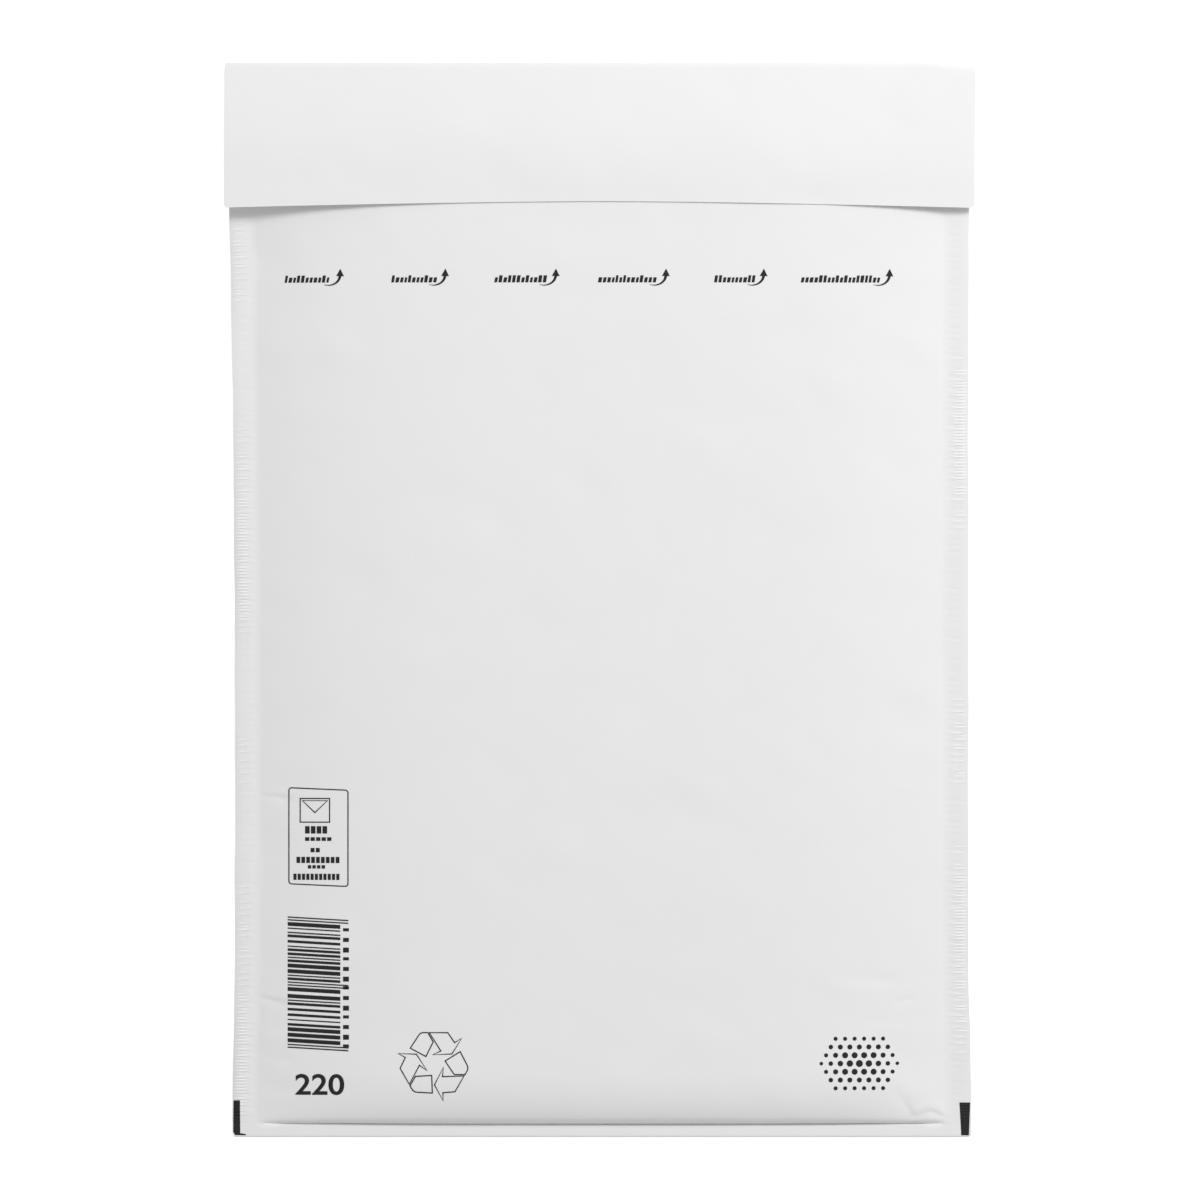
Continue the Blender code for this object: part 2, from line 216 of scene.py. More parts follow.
# Creases and dents of the front, in millimetres: start, end, depth at each, how far the
# dent reaches above its line at each end and below it, and how fast it fades past its ends
CREASES_MM = (
    ((-112.0, -63.5), (-103.0, -64.2), (0.10, 0.36), (0.6, 1.8), (0.9, 5.0), 2.4),
    ((-104.0, -64.6), (-96.5, -66.6), (0.06, 0.03), (1.0, 1.4), (1.6, 2.2), 1.5),
    ((-112.0, -129.0), (-104.5, -130.9), (0.12, 0.38), (0.5, 2.2), (0.8, 4.8), 2.2),
    ((-110.6, -133.4), (-110.2, -137.6), (0.16, 0.10), (1.2, 1.2), (1.6, 1.6), 1.2),
    ((-110.0, -148.2), (-102.0, -149.6), (0.12, 0.22), (3.0, 4.5), (3.0, 5.0), 3.0),
    ((-110.0, -158.6), (-104.0, -159.6), (0.08, 0.12), (2.0, 2.5), (2.5, 3.0), 2.0),
    ((-111.0, 60.4), (-104.0, 59.4), (0.05, 0.10), (1.5, 3.0), (1.5, 5.0), 2.5),
    ((-111.0, 39.0), (-104.0, 38.4), (0.05, 0.08), (1.5, 3.0), (1.5, 5.0), 2.5),
    ((96.6, -160.4), (101.7, -167.6), (0.22, 0.45), (4.5, 2.2), (5.5, 3.0), 1.6),
    ((78.0, -122.6), (92.5, -124.0), (0.16, 0.24), (6.0, 5.0), (3.5, 3.5), 4.5),
    ((97.2, -131.0), (100.8, -129.9), (0.12, 0.16), (2.2, 2.2), (2.6, 2.6), 1.4),
    ((88.6, -137.2), (98.0, -138.0), (0.06, 0.10), (3.0, 3.5), (2.5, 2.5), 2.6),
)
# Soft dents: middle, reach along x and y, depth
DENTS_MM = (
    ((38.0, 26.0), (22.0, 14.0), 0.13),
    ((-20.0, 64.0), (16.0, 12.0), 0.10),
    ((66.0, 84.0), (18.0, 10.0), 0.08),
    ((25.0, -12.0), (14.0, 18.0), 0.10),
    ((-52.0, -118.0), (26.0, 10.0), 0.12),
)
SLACK_HEIGHT = 0.00015
SLACK_LENGTH = 0.075
PUCKER_HEIGHT = (0.00008, 0.00004)
PUCKER_LENGTH = 0.019
PUCKER_REACH = 0.0075

# Fold of spare paper at the bottom right corner: its peaked line and how it stands
TUCK_LINE_MM = ((101.6, -168.4), (107.7, -166.3), (113.2, -168.8))
TUCK_FACET = 0.00085
TUCK_FACET_WIDTH = 0.0030
TUCK_BANK = 0.00045
TUCK_BANK_WIDTH = 0.0013


def crease_mm(x, y, start, end, depth, above, below, fade):
    """Sharp-bottomed dent along a line."""
    run = (end[0] - start[0], end[1] - start[1])
    length = math.hypot(*run)
    along = ((x - start[0]) * run[0] + (y - start[1]) * run[1]) / length ** 2
    off = ((y - start[1]) * run[0] - (x - start[0]) * run[1]) / length
    share = np.clip(along, 0.0, 1.0)
    past = np.abs(along - share) * length
    reach = np.where(off > 0, above[0] + (above[1] - above[0]) * share,
                     below[0] + (below[1] - below[0]) * share)
    profile = np.clip(1.0 - np.abs(off) / reach, 0.0, 1.0) ** 2
    return -(depth[0] + (depth[1] - depth[0]) * share) * profile * np.exp(-(past / fade) ** 2)


def corner_tuck(x, y):
    """Height of the small fold of spare paper over the bottom right corner."""
    line_x, line_y = np.array(TUCK_LINE_MM).T * MM
    off = y - np.interp(x, line_x, line_y)
    ends = smooth((x - line_x[0] + 0.0020) / 0.0030) * smooth((line_x[-1] + 0.0012 - x) / 0.0025)
    bank = np.clip(off, 0.0, None) / TUCK_BANK_WIDTH
    facet = TUCK_FACET * np.clip(-off / TUCK_FACET_WIDTH, 0.0, 1.0)
    return ends * np.where(off > 0, TUCK_BANK * bank * np.exp(1.0 - bank), facet)


def slack(x, y):
    """Wide faint swells of the paper over the padding."""
    along = waves(0.8 * x + 0.6 * y, 11, SLACK_LENGTH, 4)
    over = waves(y - 0.4 * x, 12, SLACK_LENGTH, 3)
    return SLACK_HEIGHT * along * over


def dents(u, x, y):
    """Change of the front's height by its creases, dents and puckers."""
    height = np.zeros_like(x)
    for crease in CREASES_MM:
        height += crease_mm(x / MM, y / MM, *crease) * MM
    for middle, reach, depth in DENTS_MM:
        height -= depth * MM * np.exp(-((x / MM - middle[0]) / reach[0]) ** 2
                                      - ((y / MM - middle[1]) / reach[1]) ** 2)
    from_seal = (1.0 - np.minimum(np.abs(u), 1.0)) * INNER_HALF
    near_seal = from_seal / PUCKER_REACH * np.exp(1.0 - from_seal / PUCKER_REACH)
    height += by_side(u, PUCKER_HEIGHT) * near_seal * waves(y + 0.15 * np.sign(x), 14, PUCKER_LENGTH, 3)
    return height + corner_tuck(x, y)


def ribs(u, y):
    """Height of the crimp ribs of the side seals over the seals' faces."""
    from_edge = (2.0 - np.abs(u)) * SEAL_WIDTH
    shift = by_side(u, (0.0, 0.41))
    ends = RIB_BAND + 0.0006 * waves(y + shift, 31, 0.0023, 2)
    band = smooth((ends - from_edge) / RIB_FADE) * smooth(from_edge / 0.0004)
    band = band * smooth((y - CREASE_Y) / RIB_START)
    strength = np.clip(0.90 + 0.35 * waves(y + shift, 25, 0.150, 3), 0.35, 1.25)
    return RIB_HEIGHT * strength * band * (0.5 - 0.5 * np.cos(2.0 * math.pi * y / RIB_PITCH))


# Heights of the paper's outer side

def front_height(u, x, y):
    inside = smooth((1.0 - np.abs(u)) / 0.012) * bottom_roll(y)
    pad = FRONT_RISE * fullness(u, y) + inside * (slack(x, y) + dents(u, x, y))
    return SEAL_FACE + pad - crease_groove(u, y) + np.where(np.abs(u) > 1.0, ribs(u, y), 0.0)


def back_height(u, x, y):
    inside = smooth((1.0 - np.abs(u)) / 0.03) * bottom_roll(y)
    swell = 0.5 * inside * np.clip(slack(y, x), 0.0, None)
    pad = np.maximum(SEAL_BACK - BACK_FALL * fullness(u, y), 0.0)
    return pad + swell - crease_groove(u, y) - np.where(np.abs(u) > 1.0, ribs(u, y), 0.0)


def front_at(x, y):
    return front_height(u_at(x, y), x, y)


def flap_edge_y(x):
    """The flap's free edge, bowed down towards its corners."""
    return TOP_Y - FLAP_DEPTH - FLAP_BOW * np.abs(x / (0.5 * SHEET_WIDTH)) ** FLAP_BOW_POWER


def flap_height(x, y):
    """Outer side of the flap."""
    touch = (EDGE_GAP - TOUCH_GAP) * np.exp(-((x - TOUCH_X) / TOUCH_LENGTH) ** 2)
    edge_gap = EDGE_GAP - touch + LEFT_LIFT * smooth((-0.04 - x) / 0.08)
    gap = edge_gap + (FLAP_GAP - edge_gap) * smooth((y - TOP_Y + FLAP_DEPTH) / 0.009)
    reach = np.clip((x - RIGHT_DROOP_FROM) / (0.5 * SHEET_WIDTH - RIGHT_DROOP_FROM), 0.0, 1.2)
    droop = RIGHT_DROOP * reach ** RIGHT_DROOP_POWER
    bend = EDGE_BEND * np.clip((x - 0.5 * SHEET_WIDTH + EDGE_BEND_WIDTH) / EDGE_BEND_WIDTH, 0.0, 1.2)
    over_pad = smooth((INNER_HALF - np.abs(x)) / 0.02)
    return SEAL_FACE + mouth_taper(y) * (FRONT_RISE - droop) + gap + over_pad * slack(x, y) - bend


def top_fold_y(x):
    return FOLD_Y - TOP_DROP * smooth((x - 0.5 * SHEET_WIDTH + TOP_DROP_LENGTH) / TOP_DROP_LENGTH)


# Rows of the paper web: each gives the points of one row from its place and the u of its columns

def front_row(y, u):
    """A row of the front panel or of the front of the lip."""
    y = np.full_like(u, y)
    edge = half_width(u, y) - corner_cut(y - BOTTOM_Y, LIP_CORNER)
    x = across(u, edge)
    from_crease = np.maximum(y - CREASE_Y, 0.0)
    overhang = ROLL_OVERHANG * np.exp(-from_crease / ROLL_OVERHANG_LENGTH) * (from_crease > 0)
    return x, y - overhang * crown(u), front_height(u, x, y)


def lip_turn_row(angle, u):
    """A row round the fold at the bottom edge."""
    radius = 0.5 * SEAL_THICKNESS
    y = np.full_like(u, LIP_TURN_Y - radius * math.sin(angle))
    x = across(u, half_width(u, y) - corner_cut(y - BOTTOM_Y, LIP_CORNER))
    return x, y, np.full_like(u, SEAL_HEIGHT + radius * math.cos(angle))


def back_row(y, u):
    """A row of the back of the lip or of the back panel."""
    y = np.full_like(u, y)
    x = across(u, half_width(u, y) - corner_cut(y - BOTTOM_Y, LIP_CORNER))
    return x, y, back_height(u, x, y)


def flap_row(share, u):
    """A row of the flap, from the top fold (0) to its free edge (1)."""
    taper = np.where(u > 0, FLAP_TAPER * share, 0.0)
    x = across(u, 0.5 * SHEET_WIDTH - taper)
    edge_y = flap_edge_y(x)
    y = top_fold_y(x) + (edge_y - top_fold_y(x)) * share
    x = x - np.sign(u) * corner_cut(y - edge_y, FLAP_CORNER) * smooth((np.abs(u) - 1.9) / 0.1)
    return x, y, flap_height(x, y)


def fold_row(angle, u):
    """A row round the top fold, from the back panel to the flap."""
    back_x = across(u, half_width(u, np.full_like(u, FOLD_Y)))
    flap_x, flap_y, high = flap_row(0.0, u)
    low = back_height(u, back_x, np.full_like(u, FOLD_Y))
    turn = 0.5 - 0.5 * math.cos(angle)
    return (back_x + (flap_x - back_x) * turn, flap_y + TOP_FOLD_DEPTH * math.sin(angle),
            low + (high - low) * turn)


def steps(*spans):
    """Places along a line: spans of (start, end, step), each from where the last one ends."""
    places = []
    for start, end, step in spans:
        count = max(1, round(abs(end - start) / step))
        places += [start + (end - start) * i / count for i in range(count)]
    return np.array(places + [spans[-1][1]])


# Columns and rows of the web: close where it is creased, wide where it is smooth
BODY_U = steps((-111.5, -90.0, 0.9), (-90.0, -66.0, 1.8), (-66.0, 62.0, 4.0), (62.0, 94.0, 1.8),
               (94.0, 111.5, 0.8)) / 111.5
SEAL_U = 1.0 + np.array((1.8, 2.8, 5.4, 7.6, 8.0)) * MM / SEAL_WIDTH
HALF_RIB = 0.5 * RIB_PITCH
FRONT_Y = steps((MOUTH_Y, 0.1275, 4 * MM), (0.1275, 0.0615, 3 * MM), (0.0615, 0.0365, 2.5 * MM),
                (0.0365, -0.0555, 4 * MM), (-0.0555, -0.0615, 1.5 * MM), (-0.0615, -0.0665, 0.5 * MM),
                (-0.0665, -0.0715, 1 * MM), (-0.0715, -0.1195, 4 * MM), (-0.1195, -0.1285, 1.5 * MM),
                (-0.1285, -0.1355, 0.5 * MM), (-0.1355, -0.1515, 1 * MM), (-0.1515, -0.1605, 1.5 * MM),
                (-0.1605, CREASE_Y, 0.5 * MM))
BACK_Y = steps((CREASE_Y, -0.1605, 1 * MM), (-0.1605, -0.1505, 2 * MM), (-0.1505, MOUTH_Y, 5 * MM))
FLAP_SHARE = steps((0.0, 0.20, 0.05), (0.20, 0.86, 0.055), (0.86, 0.97, 0.022), (0.97, 1.0, 0.0075))


def web_rows():
    """Every row of the web: its function, its place and whether it crosses the padding."""
    count = round((MOUTH_Y - CREASE_Y) / HALF_RIB)
    places = [CREASE_Y + i * HALF_RIB for i in range(count + 1)]
    front = {round((y - CREASE_Y) / HALF_RIB) for y in FRONT_Y}
    back = {round((y - CREASE_Y) / HALF_RIB) for y in BACK_Y}
    rows = [(front_row, places[i], i in front) for i in range(count, -1, -1)]
    rows += [(front_row, y, True) for y in np.linspace(CREASE_Y, LIP_TURN_Y, 6)[1:]]
    rows += [(lip_turn_row, angle, True) for angle in np.linspace(0.0, math.pi, 7)[1:-1]]
    rows += [(back_row, y, True) for y in np.linspace(LIP_TURN_Y, CREASE_Y, 5)[:-1]]
    rows += [(back_row, places[i], i in back) for i in range(count + 1)]
    rows += [(fold_row, angle, True) for angle in np.linspace(0.0, math.pi, 10)]
    return rows + [(flap_row, share, True) for share in FLAP_SHARE[1:]]


def new_mesh_object(name, points, faces):
    mesh = bpy.data.meshes.new(name)
    mesh.from_pydata([tuple(point) for point in points], [], faces)
    mesh.update()
    piece = bpy.data.objects.new(name, mesh)
    bpy.context.scene.collection.objects.link(piece)
    return piece


def only(piece):
    """Make a piece the one selected and active object."""
    bpy.ops.object.select_all(action="DESELECT")
    piece.select_set(True)
    bpy.context.view_layer.objects.active = piece


def thicken(piece, thickness, offset=-1.0):
    only(piece)
    solidify = piece.modifiers.new("thickness", "SOLIDIFY")
    solidify.thickness = thickness
    solidify.offset = offset
    bpy.ops.object.modifier_apply(modifier=solidify.name)


def make_paper_envelope():
    """The whole outer paper as one folded sheet, with close rows only over the ribbed seals."""
    left = np.concatenate((-SEAL_U[::-1], [-1.0]))
    right = np.concatenate(([1.0], SEAL_U))
    inner = BODY_U[1:-1]
    whole_u = np.concatenate((left, inner, right))
    sides_u = np.concatenate((left, right))
    points = []
    faces = []
    flat_faces = []         # the ribbed seals, whose slopes smooth shading would level out
    above = None            # the row above: its left and right columns
    whole_above = None      # the last row across the padding, and the seal lines since then
    for row, place, whole in web_rows():
        u = whole_u if whole else sides_u
        first = len(points)
        points += zip(*row(place, u))
        columns = list(range(first, len(points)))
        strips = (columns[:len(left)], columns[-len(right):])
        if above:
            for strip, last_strip in zip(strips, above):
                flat_faces += range(len(faces), len(faces) + len(strip) - 1)
                for i in range(len(strip) - 1):
                    faces.append((last_strip[i], strip[i], strip[i + 1], last_strip[i + 1]))
            lines[0].append(strips[0][-1])
            lines[1].append(strips[1][0])
        above = strips
        if whole:
            middle = columns[len(left) - 1:len(columns) - len(right) + 1]
            if whole_above:
                last = len(middle) - 1
                faces.append((*lines[0], middle[1], whole_above[1]))
                for i in range(1, last - 1):
                    faces.append((whole_above[i], middle[i], middle[i + 1], whole_above[i + 1]))
                faces.append((whole_above[last - 1], middle[last - 1], *lines[1][::-1]))
            whole_above = middle
            lines = ([strips[0][-1]], [strips[1][0]])
    piece = new_mesh_object("paper_sheet", points, faces)
    piece.data.shade_smooth()
    for i in flat_faces:
        piece.data.polygons[i].use_smooth = False
    thicken(piece, PAPER)
    piece.data.set_sharp_from_angle(angle=math.radians(50.0))
    return piece


# Closure under the flap: adhesive against the flap, its liner below

GLUE_THICKNESS = 0.00012
CLOSURE_CLEARANCE = 0.00002


def make_closure_band(name, low, high, depth):
    """A thin band that follows the flap's inner face, this far under its outer side."""
    middle = (low + high) * 0.5
    bpy.ops.object.select_all(action="DESELECT")
    bpy.ops.mesh.primitive_grid_add(x_subdivisions=90, y_subdivisions=12, size=1.0,
                                    location=(middle.x, middle.y, 0.0))
    piece = bpy.context.object
    piece.name = name
    piece.scale = (high.x - low.x, high.y - low.y, 1.0)
    bpy.ops.object.transform_apply(location=True, rotation=False, scale=True)
    points = mesh_points(piece)
    points[:, 2] = flap_height(points[:, 0], points[:, 1]) - depth
    set_mesh_points(piece, points)
    thicken(piece, GLUE_THICKNESS)
    piece.data.shade_smooth()
    piece.data.set_sharp_from_angle(angle=math.radians(40.0))
    return piece


def mesh_points(piece):
    points = np.empty(len(piece.data.vertices) * 3)
    piece.data.vertices.foreach_get("co", points)
    return points.reshape(-1, 3)


def set_mesh_points(piece, points):
    piece.data.vertices.foreach_set("co", points.ravel())
    piece.data.update()


# Bubble lining: one film folded at the bottom, its bubbles inside

BUBBLE_PITCH = 0.0112
BUBBLE_RADIUS = 0.0050
BUBBLE_HEIGHT = 0.0036
BUBBLE_RINGS = ((1.0, 0.0), (0.94, 0.55), (0.72, 0.92))
BUBBLE_SIDES = 12
FILM = 0.00007
FILM_GAP = 0.00006          # between the film and the paper, and between facing bubbles
FILM_HALF = INNER_HALF - 0.0005
FILM_TOP_Y = 0.163
FILM_BEND_Y = CREASE_Y + 0.0085
FILM_BEND_DEPTH = 0.0045
FILM_FRONT = FILM_TOP_Y - FILM_BEND_Y
FILM_BEND = 0.018
FILM_LENGTH = 2.0 * FILM_FRONT + FILM_BEND


def film_faces(u, y):
    """Heights of the film's outer side at the front and at the back."""
    x = across(u, half_width(u, y))
    crimp = np.where(np.abs(u) > 1.0, ribs(u, y), 0.0)
    return (x, front_height(u, x, y) - crimp - PAPER - FILM_GAP,
            back_height(u, x, y) + crimp + PAPER + FILM_GAP)


def film_points(s, t, height, share):
    """Places of film points: s across, t along, height inwards as a share of a bubble's."""
    u = np.sign(s) * (np.minimum(np.abs(s) / INNER_HALF, 1.0)
                      + np.maximum(np.abs(s) - INNER_HALF, 0.0) / SEAL_WIDTH)
    y = np.where(t < FILM_FRONT, FILM_TOP_Y - t, FILM_TOP_Y - FILM_LENGTH + t)
    bend = np.clip((t - FILM_FRONT) / FILM_BEND, 0.0, 1.0) * math.pi
    y = np.where((bend > 0) & (bend < math.pi), FILM_BEND_Y, y)
    x, front, back = film_faces(u, y)
    room = np.clip(0.5 * (front - back) - FILM_GAP, FILM, BUBBLE_HEIGHT)
    inwards = np.minimum(height + share * BUBBLE_HEIGHT, room)
    half = 0.5 * (front - back) - inwards
    z = 0.5 * (front + back) + half * np.cos(bend)
    return np.column_stack((x, y - (FILM_BEND_DEPTH - inwards) * np.sin(bend) * crown(u), z))


def make_bubble_film():
    """Hexagon cells, each with a round bubble, over a plain backing film."""
    corners = {}
    flat = []               # s, t, bubble share
    tops = []
    plain = []

    def corner(s, t):
        s = min(max(s, -FILM_HALF), FILM_HALF)
        t = min(max(t, 0.0), FILM_LENGTH)
        key = (round(s, 6), round(t, 6))
        if key not in corners:
            corners[key] = len(flat)
            flat.append((s, t, 0.0))
        return corners[key]

    radius = BUBBLE_PITCH / math.sqrt(3.0)
    rows = math.ceil(FILM_LENGTH / (1.5 * radius)) + 1
    half_count = math.ceil(FILM_HALF / BUBBLE_PITCH) + 1
    for row in range(-1, rows):
        for column in range(-half_count, half_count + 1):
            s = (column + 0.5 * (row % 2)) * BUBBLE_PITCH
            t = row * 1.5 * radius
            ring = []
            for side in range(6):
                angle = math.radians(30.0 + 60.0 * side)
                ring.append(corner(s + radius * math.cos(angle), t + radius * math.sin(angle)))
            cell = list(dict.fromkeys(ring))
            spots = [flat[i][:2] for i in cell]
            if len(cell) < 3 or min(np.ptp(spots, axis=0)) < 1e-5:
                continue
            plain.append(cell)
            clear = (abs(s) < INNER_HALF - BUBBLE_RADIUS and BUBBLE_PITCH < t < FILM_LENGTH - BUBBLE_PITCH
                     and abs(t - 0.5 * FILM_LENGTH) > 0.5 * FILM_BEND + BUBBLE_RADIUS)
            if not clear:
                tops.append(cell)
                continue
            rings = []
            for reach, share in BUBBLE_RINGS:
                rings.append(range(len(flat), len(flat) + BUBBLE_SIDES))
                for side in range(BUBBLE_SIDES):
                    angle = math.radians(30.0) + 2.0 * math.pi * side / BUBBLE_SIDES
                    flat.append((s + reach * BUBBLE_RADIUS * math.cos(angle),
                                 t + reach * BUBBLE_RADIUS * math.sin(angle), share))
            for side in range(6):
                rim = [rings[0][(2 * side + k) % BUBBLE_SIDES] for k in (2, 1, 0)]
                tops.append([ring[side], ring[(side + 1) % 6], *rim])
            for low, high in zip(rings, rings[1:]):
                for side in range(BUBBLE_SIDES):
                    after = (side + 1) % BUBBLE_SIDES
                    tops.append([low[side], low[after], high[after], high[side]])
            tops.append(list(rings[-1]))
    s, t, share = np.array(flat).T
    inner = film_points(s, t, FILM, share)
    outer = film_points(s, t, 0.0, 0.0)
    used = sorted(corners.values())
    under = {top: len(inner) + i for i, top in enumerate(used)}
    faces = tops + [[under[i] for i in cell[::-1]] for cell in plain]
    edges = {(a, b) for cell in plain for a, b in zip(cell, cell[1:] + cell[:1])}
    faces += [[b, a, under[a], under[b]] for a, b in sorted(edges) if (b, a) not in edges]
    piece = new_mesh_object("bubble_film", np.vstack((inner, outer[used])), faces)
    only(piece)
    bpy.ops.object.mode_set(mode="EDIT")
    bpy.ops.mesh.select_all(action="SELECT")
    bpy.ops.mesh.normals_make_consistent(inside=False)
    bpy.ops.object.mode_set(mode="OBJECT")
    piece.data.shade_smooth()
    piece.data.set_sharp_from_angle(angle=math.radians(50.0))
    return piece


# Print: flat outlines in millimetres, filled as 2D curves and laid on the front

INK = 0.00002
INK_LIFT = 0.00007
LINE = 0.38


def make_print(name, outlines, grid_mm=1.5, half_ribs=False):
    """Fill closed outlines (one inside another leaves a hole) and lay them on the paper."""
    curve = bpy.data.curves.new(name, "CURVE")
    curve.dimensions = "2D"
    curve.fill_mode = "BOTH"
    for outline in outlines:
        spline = curve.splines.new("POLY")
        spline.points.add(len(outline) - 1)
        for point, (x, y) in zip(spline.points, outline):
            point.co = (x, y, 0.0, 1.0)
        spline.use_cyclic_u = True
    flat = bpy.data.objects.new(name, curve)
    bpy.context.scene.collection.objects.link(flat)
    return lay_print(flat, grid_mm, half_ribs)


def lay_print(flat, grid_mm, half_ribs=False):
    """Turn a flat curve or text into a thin print that follows the paper."""
    only(flat)
    bpy.ops.object.convert(target="MESH")
    piece = bpy.context.object
    bpy.ops.object.transform_apply(location=True, rotation=True, scale=True)
    points = mesh_points(piece)
    low = points.min(axis=0)
    high = points.max(axis=0)
    bpy.ops.object.mode_set(mode="EDIT")
    for axis, step in ((0, grid_mm), (1, HALF_RIB / MM if half_ribs else grid_mm)):
        normal = (1.0, 0.0, 0.0) if axis == 0 else (0.0, 1.0, 0.0)
        for line in range(math.ceil(low[axis] / step), math.floor(high[axis] / step) + 1):
            place = tuple(line * step * part for part in normal)
            bpy.ops.mesh.select_all(action="SELECT")
            bpy.ops.mesh.bisect(plane_co=place, plane_no=normal)
    bpy.ops.mesh.select_all(action="SELECT")
    bpy.ops.mesh.remove_doubles(threshold=0.0004)
    bpy.ops.mesh.normals_make_consistent(inside=False)
    bpy.ops.object.mode_set(mode="OBJECT")
    points = mesh_points(piece) * MM
    points[:, 2] = front_at(points[:, 0], points[:, 1]) + INK_LIFT
    set_mesh_points(piece, points)
    if piece.data.polygons[0].normal.z < 0.0:
        piece.data.flip_normals()
    thicken(piece, INK)
    return piece


def block(left, right, top, bottom, slant=0.0, fall=0.0):
    """A four-sided patch: its top leans right by slant, its right end sinks by fall."""
    return [(left, bottom), (right, bottom - fall), (right + slant, top - fall), (left + slant, top)]


def offset_outline(points, distance):
    """A closed outline moved outwards (to the right of its run), with mitred corners."""
    moved = []
    count = len(points)
    for i, (x, y) in enumerate(points):
        before = np.array((x, y)) - points[i - 1]
        after = np.array(points[(i + 1) % count]) - (x, y)
        before /= np.linalg.norm(before)
        after /= np.linalg.norm(after)
        normal = np.array((before[1] + after[1], -before[0] - after[0]))
        length = np.linalg.norm(normal)
        moved.append(tuple(np.array((x, y)) + normal * min(2.0 / length ** 2, 1.6 / length) * distance))
    return moved


def stroke(points):
    """A closed line as its outer and inner outlines."""
    return [offset_outline(points, 0.5 * LINE), offset_outline(points, -0.5 * LINE)]


def turned(points, degrees, middle):
    angle = math.radians(degrees)
    return [(middle[0] + x * math.cos(angle) - y * math.sin(angle),
             middle[1] + x * math.sin(angle) + y * math.cos(angle)) for x, y in points]


def round_frame(left, right, top, bottom, radius, fall=0.0):
    """Closed outline of a rounded frame."""
    outline = []
    for x, y, start in ((right, top, 0), (left, top, 90), (left, bottom, 180), (right, bottom, 270)):
        centre_x = x - radius if x == right else x + radius
        centre_y = y - radius if y == top else y + radius
        for step in range(5):
            angle = math.radians(start + 22.5 * step)
            point_x = centre_x + radius * math.cos(angle)
            outline.append((point_x, centre_y + radius * math.sin(angle)
                            - fall * (point_x - left) / (right - left)))
    return outline


LEGEND_TOP = 105.6
LEGEND_BOTTOM = 103.3
LEGENDS_MM = ((-102.7, -87.4), (-67.9, -52.6), (-34.4, -16.2), (-0.7, 19.5), (37.1, 51.0), (65.3, 91.6))
ARROWS_MM = (-89.6, -55.4, -19.4, 16.4, 48.2, 89.2)


def make_opening_legends():
    """A row of plain slanted blocks in place of words, each with a curved up arrow."""
    rng = np.random.default_rng(3)
    outlines = []
    for start, end in LEGENDS_MM:
        x = start
        while x < end - 1.0:
            width = float(rng.uniform(0.75, 1.15))
            tall = 0.0 if rng.random() < 0.35 else 0.65
            outlines.append(block(x, x + width, LEGEND_TOP - tall, LEGEND_BOTTOM, 0.35))
            x += width + 0.42
    for left in ARROWS_MM:
        outer = []
        inner = []
        for step in range(13):
            share = step / 12.0
            angle = math.radians(-112.0 + 107.0 * share)
            half = 0.06 + 0.42 * share
            for side, line in ((half, outer), (-half, inner)):
                line.append((left + 1.2 + (3.8 + side) * math.cos(angle),
                             105.7 + (3.3 + side) * math.sin(angle)))
        head = [(left + 6.3, 105.3), (left + 5.1, 107.8), (left + 3.7, 105.3)]
        outlines.append(outer + head + inner[::-1])
    return make_print("opening_legends_print", outlines, 3.0)


FRAME_MM = (-101.3, -82.0, -61.1, -92.4)
FRAME_DASHES_MM = ((-96.0, -87.6, -73.6, -76.0), (-96.0, -87.6, -77.2, -78.4), (-94.2, -90.0, -80.7, -82.1),
                   (-98.8, -85.1, -83.6, -85.6), (-95.1, -88.9, -86.3, -87.4), (-99.8, -84.4, -89.1, -91.1))


def make_label_frame():
    """A rounded frame with a small envelope drawn in it and rows of dashes."""
    outlines = stroke(round_frame(*FRAME_MM, 0.9, 0.8))
    outlines += stroke([(-97.6, -72.3), (-88.0, -72.3), (-88.0, -64.6), (-97.6, -64.6)])
    outlines += stroke([(-96.9, -65.3), (-92.8, -69.2), (-88.7, -65.3)])
    for row, (left, right, top, bottom) in enumerate(FRAME_DASHES_MM):
        dash = 1.5 - 0.1 * row
        for i in range(max(1, round((right - left) / (dash + 0.4)))):
            x = left + i * (dash + 0.4)
            outlines.append(block(x, x + dash, top, bottom))
    return make_print("label_frame_print", outlines)


BARS_TOP = -103.0
BARS_BOTTOM = -145.8
BARS_LEFT = -101.7
BARS_RIGHT = -84.5
GUARD_RIGHT = -81.9
BAR_MODULES = 95
BARS_FALL = 0.95


def make_bar_pattern():
    """Level bars of one to three modules, longer at the ends and in the middle."""
    module = (BARS_TOP - BARS_BOTTOM) / BAR_MODULES
    rng = np.random.default_rng(8)
    outlines = []
    place = 0
    while place < BAR_MODULES:
        guard = place < 3 or abs(place - 47) < 3 or place > BAR_MODULES - 4
        wide = 1 if guard else int(rng.integers(1, 4))
        wide = min(wide, BAR_MODULES - place)
        right = GUARD_RIGHT if guard else BARS_RIGHT
        fall = BARS_FALL * (right - BARS_LEFT) / (BARS_RIGHT - BARS_LEFT)
        top = BARS_TOP - place * module
        outlines.append(block(BARS_LEFT, right, top, top - wide * module * 0.94, fall=fall))
        place += wide + (1 if guard else int(rng.integers(1, 3)))
    for i in range(13):
        top = -106.8 - i * 3.15
        outlines.append(block(-83.6, -81.7, top, top - (1.0 + 0.3 * (i % 3))))
    return make_print("bar_pattern_print", outlines)


